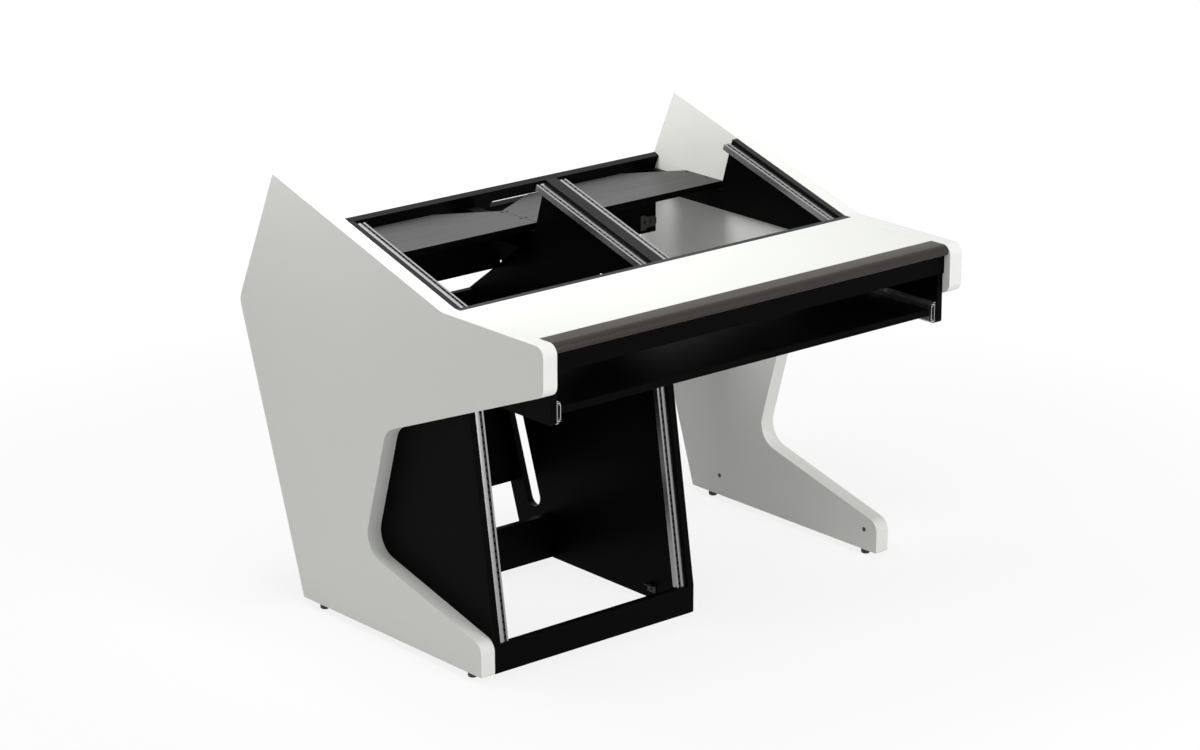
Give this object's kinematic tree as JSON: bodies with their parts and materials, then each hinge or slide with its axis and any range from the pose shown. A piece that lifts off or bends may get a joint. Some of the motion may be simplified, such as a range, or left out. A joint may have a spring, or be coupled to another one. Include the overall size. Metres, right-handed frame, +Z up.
{
  "type": "studio desk",
  "caption": "Studio desk with white side panels, padded front edge, slanted twin rack bays, a low rack tower and a sliding keyboard shelf.",
  "frame": {"origin": "on the floor, under the middle of the desk's width and depth", "axes": "+X to the sitter's right, +Y away from the sitter (front is -Y), +Z up"},
  "size_m": [1.13, 0.9944, 0.9186],
  "materials": {
    "white_board": "white melamine-faced board, satin",
    "black_board": "black melamine-faced board, satin",
    "grey_edge_board": "dark grey melamine-faced board, satin",
    "soft_armrest": "dark brown-black padded cover, fine grain",
    "rail_aluminium": "anodised extrusion, satin",
    "zinc_steel": "zinc-plated sheet steel",
    "ball_steel": "polished balls in plain steel cages",
    "black_screw": "blackened screws",
    "dark_steel": "blackened threaded strip",
    "foot_plastic": "black moulded plastic"
  },
  "bodies": {
    "desk": {"side_panel_left": "white_board", "side_panel_right": "white_board", "feet": "foot_plastic", "bolt_covers": "foot_plastic", "desktop": "white_board", "armrest": "soft_armrest", "armrest_batten": "black_board", "apron": "black_board", "bay_front": "black_board", "bracket_left": "black_board", "bracket_right": "black_board", "slide_outer_left": "zinc_steel", "slide_outer_right": "zinc_steel", "slide_screws_fixed": "zinc_steel", "cheek_left": "black_board", "cheek_right": "black_board", "divider": "black_board", "rail_a": "rail_aluminium", "rail_b": "rail_aluminium", "rail_c": "rail_aluminium", "rail_d": "rail_aluminium", "rail_tower_left": "rail_aluminium", "rail_tower_right": "rail_aluminium", "strip_a": "dark_steel", "strip_b": "dark_steel", "strip_c": "dark_steel", "strip_d": "dark_steel", "strip_tower_left": "dark_steel", "strip_tower_right": "dark_steel", "tower_side_left": "black_board", "tower_side_right": "black_board", "tower_plinth": "black_board", "tower_cross_board": "black_board", "tower_rear_board": "black_board", "tower_angles": "zinc_steel", "back_board": "black_board", "rear_shelf_left": "grey_edge_board", "rear_shelf_right": "grey_edge_board", "shelf_screws": "black_screw", "modesty_left": "black_board", "modesty_right": "black_board", "fixing_plate": "zinc_steel", "plate_screw": "zinc_steel"},
    "keyboard_shelf": {"keyboard_shelf": "black_board", "slide_inner_left": "zinc_steel", "slide_inner_right": "zinc_steel", "slide_screws_shelf": "zinc_steel"},
    "middle_left": {"slide_middle_left": "zinc_steel"},
    "middle_right": {"slide_middle_right": "zinc_steel"},
    "balls_outer_left": {"cage_outer_left": "ball_steel"},
    "balls_outer_right": {"cage_outer_right": "ball_steel"},
    "balls_inner_left": {"cage_inner_left": "ball_steel"},
    "balls_inner_right": {"cage_inner_right": "ball_steel"}
  },
  "joints": [
    {"name": "keyboard_slide", "type": "slide", "parent": "desk", "child": "keyboard_shelf", "axis": [0, -1, 0], "range_m": [0, 0.35]},
    {"name": "middle_left_slide", "type": "slide", "parent": "desk", "child": "middle_left", "axis": [0, -1, 0], "range_m": [0, 0.175]},
    {"name": "balls_outer_left_slide", "type": "slide", "parent": "desk", "child": "balls_outer_left", "axis": [0, -1, 0], "range_m": [0, 0.0875]},
    {"name": "balls_inner_left_slide", "type": "slide", "parent": "desk", "child": "balls_inner_left", "axis": [0, -1, 0], "range_m": [0, 0.2625]},
    {"name": "middle_right_slide", "type": "slide", "parent": "desk", "child": "middle_right", "axis": [0, -1, 0], "range_m": [0, 0.175]},
    {"name": "balls_outer_right_slide", "type": "slide", "parent": "desk", "child": "balls_outer_right", "axis": [0, -1, 0], "range_m": [0, 0.0875]},
    {"name": "balls_inner_right_slide", "type": "slide", "parent": "desk", "child": "balls_inner_right", "axis": [0, -1, 0], "range_m": [0, 0.2625]}
  ],
  "couplings": [
    {"joint": "middle_left_slide", "follows": "keyboard_slide", "ratio": 0.5},
    {"joint": "balls_outer_left_slide", "follows": "keyboard_slide", "ratio": 0.25},
    {"joint": "balls_inner_left_slide", "follows": "keyboard_slide", "ratio": 0.75},
    {"joint": "middle_right_slide", "follows": "keyboard_slide", "ratio": 0.5},
    {"joint": "balls_outer_right_slide", "follows": "keyboard_slide", "ratio": 0.25},
    {"joint": "balls_inner_right_slide", "follows": "keyboard_slide", "ratio": 0.75}
  ]
}
